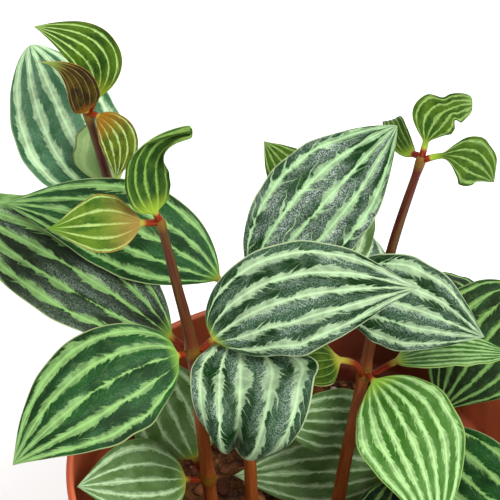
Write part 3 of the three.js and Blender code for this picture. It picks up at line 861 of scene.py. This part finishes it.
def leaf_mesh(shoot, number, spec, materials, index):
    at, tip, width, face, arch, sweep, look, changes = spec
    own = {**PLAIN, **changes}
    control, node = midrib(shoot, at, tip, face, arch, sweep)
    dense, _ = bezier(control, np.linspace(0, 1, LENGTH_SAMPLES))
    length = np.linalg.norm(np.diff(dense, axis=0), axis=1).sum()
    stalk = own["stalk"] / length
    blade = 1 - (1 - np.linspace(0, 1, BLADE_RINGS + 1)[1:-1]) ** TIP_CROWDING
    on_blade = stalk + (1 - stalk) * blade
    places = np.concatenate([np.linspace(0, stalk, STALK_RINGS), on_blade, [LAST_RING]])
    share = np.clip((places - stalk) / (1 - stalk), 0, 1)
    point, along, upper, side = leaf_frames(control, face, own, places, share, length)

    # The stalk's first ring goes back into the stem, so that the two grow together.
    point[0] = point[0] + ROOT * (node - point[0])

    draw = random.Random(SEED * 100 + index)
    seed = draw.uniform(0, 40)
    shade = draw.uniform(-0.6, 0.6)
    pinch_at, pinch = own["pinch"]
    outline = blade_outline(share, own)
    outline = outline * (1 - pinch * np.exp(-(((share - pinch_at) / PINCH_REACH) ** 2)))
    stub = STALK_RADIUS * (1 - share)
    half = np.maximum(((width / 2 * outline) ** 4 + stub ** 4) ** 0.25, LEAST_HALF)
    thick = STALK_RADIUS + (HALF_THICKNESS - STALK_RADIUS) * np.minimum(share / THIN_FROM, 1)
    thick = thick * np.minimum(1, 1 + THINNING * (0.5 - share))
    lean = 2 * np.radians(own["cup"]) * outline
    lean = lean + np.radians(own["roll"]) * smooth_step(share, *ROLL_REACH)
    lean = np.where(np.abs(lean) < LEAST_LEAN, LEAST_LEAN, lean)
    flat = smooth_step(share, 0.0, FLAT_FROM)  # 0 on the round stalk, 1 on the blade

    # One closed ring of the section: the upper side from left to right, then back below.
    top = -np.cos(np.linspace(0, math.pi, TOP_POINTS + 1))
    below = np.cos(np.linspace(0, math.pi, UNDER_POINTS + 1))[1:-1]
    across = np.concatenate([top, below])
    is_top = np.concatenate([np.ones(len(top)), -np.ones(len(below))])
    beneath = np.where(is_top > 0, 0.0, 1.0)
    beneath[[0, TOP_POINTS]] = 0.5
    sides = len(across)

    vertices, marks, tints = [point[0]], [(0, 0, 0.5)], [(seed, 1.0, shade)]
    for i, ring in enumerate(zip(places, share, half, lean, thick, flat)):
        x, z = leaf_section(ring, across, is_top, own, LOOKS[look], seed)
        vertices.extend(point[i] + x[:, None] * side[i] + z[:, None] * upper[i])
        marks.extend(zip(across, [share[i]] * sides, beneath))
        bare = max(0.0, 1 - places[i] / (stalk * STALK_FADE))
        tints.extend([(seed, bare, shade)] * sides)
    vertices.append(point[-1] + along[-1] * CURLED_END if own["curl"] else control[3])
    marks.append((0, 1, 0.5))
    tints.append((seed, 0.0, shade))
    node_name = f"leaf_{shoot}_{number}"
    piece = make_piece(node_name + "_blade", vertices, skin_faces(len(places), sides),
                       materials[look], [("leaf_place", marks), ("leaf_mark", tints)])
    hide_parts(node_name)


# ---------------- pot

POT_SIDES = 160
DRAIN_SIDES = 32
ARC_POINTS = 5  # on each rounded corner of the profile
SHARP_ANGLE = 40  # degrees, from which an edge isn't shaded smooth


def inside_radius(height):
    return BASE_RADIUS + (WALL_TOP - BASE_RADIUS) * height / COLLAR_BOTTOM - POT_WALL


def rounded(corners):
    """A profile from (radius, height, rounding) corners, each rounded by a small arc."""
    path = []
    for i, (r, z, size) in enumerate(corners):
        here = np.array([r, z], float)
        if not size or i in (0, len(corners) - 1):
            path.append(here)
            continue
        before = np.array(corners[i - 1][:2], float) - here
        after = np.array(corners[i + 1][:2], float) - here
        a = here + unit(before) * size
        b = here + unit(after) * size
        for t in np.linspace(0, 1, ARC_POINTS):
            path.append((1 - t) ** 2 * a + 2 * t * (1 - t) * here + t * t * b)
    return path


def pot_piece(material):
    corners = [
        (0, 0, 0), (BASE_RADIUS - 4, 0, 0), (BASE_RADIUS, 0, 1.0), (WALL_TOP, COLLAR_BOTTOM, 0.4),
        (COLLAR_LOW, COLLAR_BOTTOM, 0.6), (RIM_RADIUS, POT_HEIGHT, 0.8),
        (RIM_RADIUS - POT_WALL, POT_HEIGHT, 0.7), (COLLAR_LOW - POT_WALL, COLLAR_BOTTOM + COLLAR_STEP, 1.0),
        (inside_radius(COLLAR_BOTTOM), COLLAR_BOTTOM, 0.6), (inside_radius(POT_FLOOR), POT_FLOOR, 0.8),
        (0, POT_FLOOR, 0),
    ]
    profile = rounded(corners)
    mesh = bmesh.new()
    rings = []
    for r, z in profile:
        ring = circle(r * MM, z * MM, POT_SIDES) if r else [(0, 0, z * MM)]
        rings.append([mesh.verts.new(place) for place in ring])
    for low, high in zip(rings, rings[1:]):
        for j in range(POT_SIDES):
            k = (j + 1) % POT_SIDES
            quad = [low[j % len(low)], low[k % len(low)], high[k % len(high)], high[j % len(high)]]
            mesh.faces.new(list(dict.fromkeys(quad)))
    bmesh.ops.recalc_face_normals(mesh, faces=mesh.faces)
    data = bpy.data.meshes.new("pot_body")
    mesh.to_mesh(data)
    mesh.free()
    pot = add_object("pot_body", data)

    # Drain holes, drilled through the floor.
    drills = bmesh.new()
    for place in circle(DRAIN_CIRCLE * MM, 0, DRAIN_HOLES):
        made = bmesh.ops.create_cone(drills, cap_ends=True, segments=DRAIN_SIDES,
                                     radius1=DRAIN_RADIUS * MM, radius2=DRAIN_RADIUS * MM,
                                     depth=4 * POT_FLOOR * MM,
                                     matrix=Matrix.Rotation(math.pi / DRAIN_SIDES, 4, "Z"))
        bmesh.ops.translate(drills, verts=made["verts"], vec=place)
    drill_data = bpy.data.meshes.new("drills")
    drills.to_mesh(drill_data)
    drills.free()
    drill = add_object("drills", drill_data)
    cut = pot.modifiers.new("holes", "BOOLEAN")
    cut.operation = "DIFFERENCE"
    cut.solver = "EXACT"
    cut.object = drill
    bpy.context.view_layer.update()
    evaluated = pot.evaluated_get(bpy.context.evaluated_depsgraph_get())
    holed = bpy.data.meshes.new_from_object(evaluated)
    pot.modifiers.clear()
    pot.data = holed
    bpy.data.objects.remove(drill)
    bpy.data.meshes.remove(data)
    holed.name = "pot_body"
    dress(pot, material)
    holed.set_sharp_from_angle(angle=math.radians(SHARP_ANGLE))
    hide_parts("pot")


# ---------------- potting mix

MIX_SIDES = 220
MIX_RINGS = 84
MIX_CLEARANCE = 0.25
MIX_SINK = 0.9  # how far the uneven top's own level is below MIX_TOP
# Its unevenness: how high, and how many waves in a millimetre.
SWELL = (0.7, 0.05)
LUMPS = (1.0, 0.32)
GRIT = (0.28, 1.4)
CRUMBS = 820
CRUMB_SIZES = (0.5, 1.5)  # the smallest radius, and what the largest adds to it
CRUMB_FEWNESS = 2.2  # above 1, larger crumbs are fewer
CRUMB_SHAPE = ((0.7, 1.5), (0.5, 1.0), (0.4, 0.8))  # length, width and height, in radii
CRUMB_ROUGHNESS = 0.42
CRUMB_LIFT = 0.15  # above the ground, in radii
CRUMB_TOP = 2.2  # above the mix's own top, so that they stay inside the CAD model's box
STONE_SHARE = 0.07


def ground_height(x, y):
    """The mix's uneven top."""
    def waves(kind, height, rate, layer, *settings):
        return height * kind(Vector((x * rate, y * rate, layer)), *settings)

    swell = waves(noise.noise, *SWELL, 1.0)
    lumps = waves(noise.fractal, *LUMPS, 4.0, 0.6, 2.0, 4)
    grit = waves(noise.noise, *GRIT, 8.0)
    return MIX_TOP - MIX_SINK + swell + lumps + grit


def mix_pieces(ground, crumb):
    edge = inside_radius(MIX_TOP - 1) - MIX_CLEARANCE
    vertices = [(0, 0, ground_height(0, 0))]
    for i in range(1, MIX_RINGS + 1):
        for x, y, _ in circle(edge * i / MIX_RINGS, 0, MIX_SIDES):
            vertices.append((x, y, ground_height(x, y)))
    low = POT_FLOOR + GAP
    vertices.extend(circle(inside_radius(low) - MIX_CLEARANCE, low, MIX_SIDES))
    vertices.append((0, 0, low))
    faces = [tuple(reversed(f)) for f in skin_faces(MIX_RINGS + 1, MIX_SIDES)]
    piece = make_piece("potting_mix_ground", vertices, faces, ground)
    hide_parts("potting_mix")

    draw = random.Random(SEED)
    seed_shape = bmesh.new()
    bmesh.ops.create_icosphere(seed_shape, subdivisions=2, radius=1.0)
    shape = np.array([v.co for v in seed_shape.verts])
    shape_faces = [tuple(v.index for v in f.verts) for f in seed_shape.faces]
    seed_shape.free()
    points, faces, marks = [], [], []
    smallest, spread = CRUMB_SIZES
    for _ in range(CRUMBS):
        size = smallest + spread * draw.random() ** CRUMB_FEWNESS
        r = (edge - size - 0.4) * math.sqrt(draw.random())
        t = draw.uniform(0, 2 * math.pi)
        x, y = r * math.cos(t), r * math.sin(t)
        stretch = np.array([draw.uniform(*limits) for limits in CRUMB_SHAPE])
        turn = draw.uniform(0, 2 * math.pi)
        tilt = draw.uniform(-0.5, 0.5)
        offset = Vector((draw.uniform(0, 50), draw.uniform(0, 50), 0))
        rough = [1 + CRUMB_ROUGHNESS * noise.noise(Vector(v) * 1.6 + offset) for v in shape]
        body = shape * np.array(rough)[:, None] * stretch * size
        c, s = math.cos(turn), math.sin(turn)
        ct, st = math.cos(tilt), math.sin(tilt)
        body = body @ np.array([[c, s, 0], [-s, c, 0], [0, 0, 1]])
        body = body @ np.array([[1, 0, 0], [0, ct, st], [0, -st, ct]])
        body += (x, y, ground_height(x, y) + size * CRUMB_LIFT)
        body[:, 2] = np.minimum(body[:, 2], MIX_TOP + CRUMB_TOP)
        start = len(points)
        points.extend(body)
        faces.extend(tuple(start + k for k in f) for f in shape_faces)
        mark = (draw.random(), 1.0 if draw.random() < STONE_SHARE else 0.0, 0.0)
        marks.extend([mark] * len(body))
    make_piece("potting_mix_crumbs", points, faces, crumb, [("crumb_mark", marks)])


# ---------------- the plant, the pot, the mix

leaf_materials = {name: leaf_material(name, look) for name, look in LOOKS.items()}
skin = stem_material()
leaf_index = 0
for number, shoot in enumerate(STEMS):
    stem_mesh(shoot, skin, number)
    for i, spec in enumerate(LEAVES[shoot]):
        leaf_index += 1
        leaf_mesh(shoot, i + 1, spec, leaf_materials, leaf_index)
pot_piece(pot_material())
mix_pieces(mix_material(), crumb_material())

# ---------------- floor, light and camera

REACH = 3.0  # of the floor, in metres
floor_mesh = bpy.data.meshes.new("floor")
corners = [(-REACH, -REACH, 0), (REACH, -REACH, 0), (REACH, REACH, 0), (-REACH, REACH, 0)]
floor_mesh.from_pydata(corners, [], [(0, 1, 2, 3)])
floor = add_object("floor", floor_mesh)
paper = Shader("floor_paper")
cloud = paper.noise(paper.place(), 30.0)
white = paper.mix(cloud, [0.90, 0.90, 0.90, 1], [0.92, 0.92, 0.92, 1])
floor_mesh.materials.append(paper.finish(white, 0.9))

world = bpy.data.worlds.new("studio")
world.use_nodes = True
sky = world.node_tree.nodes["Background"].inputs
sky["Color"].default_value = (1, 1, 1, 1)
sky["Strength"].default_value = 0.78
bpy.context.scene.world = world


def soft_light(name, place, size, watts):
    lamp = bpy.data.lights.new(name, "AREA")
    lamp.shape = "DISK"
    lamp.size = size
    lamp.energy = watts
    light = add_object(name, lamp)
    light.location = place
    towards = Vector((0, 0, 0.12)) - Vector(place)
    light.rotation_euler = towards.to_track_quat("-Z", "Y").to_euler()


# In metres and watts.
soft_light("top", (-0.2, 0.0, 1.6), 1.5, 12.0)
soft_light("key", (0.55, -0.55, 1.15), 0.5, 20.0)

# Seen from in front and 45.5 degrees above, from about 650 mm away.
VIEW_DROP = 45.5
SENSOR = 36.0
LENS = 201.24
CAMERA_PLACE = (-0.011163, -0.420260, 0.590332)
camera_data = bpy.data.cameras.new("camera")
camera_data.sensor_width = SENSOR
camera_data.lens = LENS
camera_data.clip_start = 0.01
camera = add_object("camera", camera_data)
camera.location = CAMERA_PLACE
camera.rotation_euler = (math.radians(90 - VIEW_DROP), 0, 0)
bpy.context.scene.camera = camera
bpy.context.scene.view_settings.view_transform = "Standard"
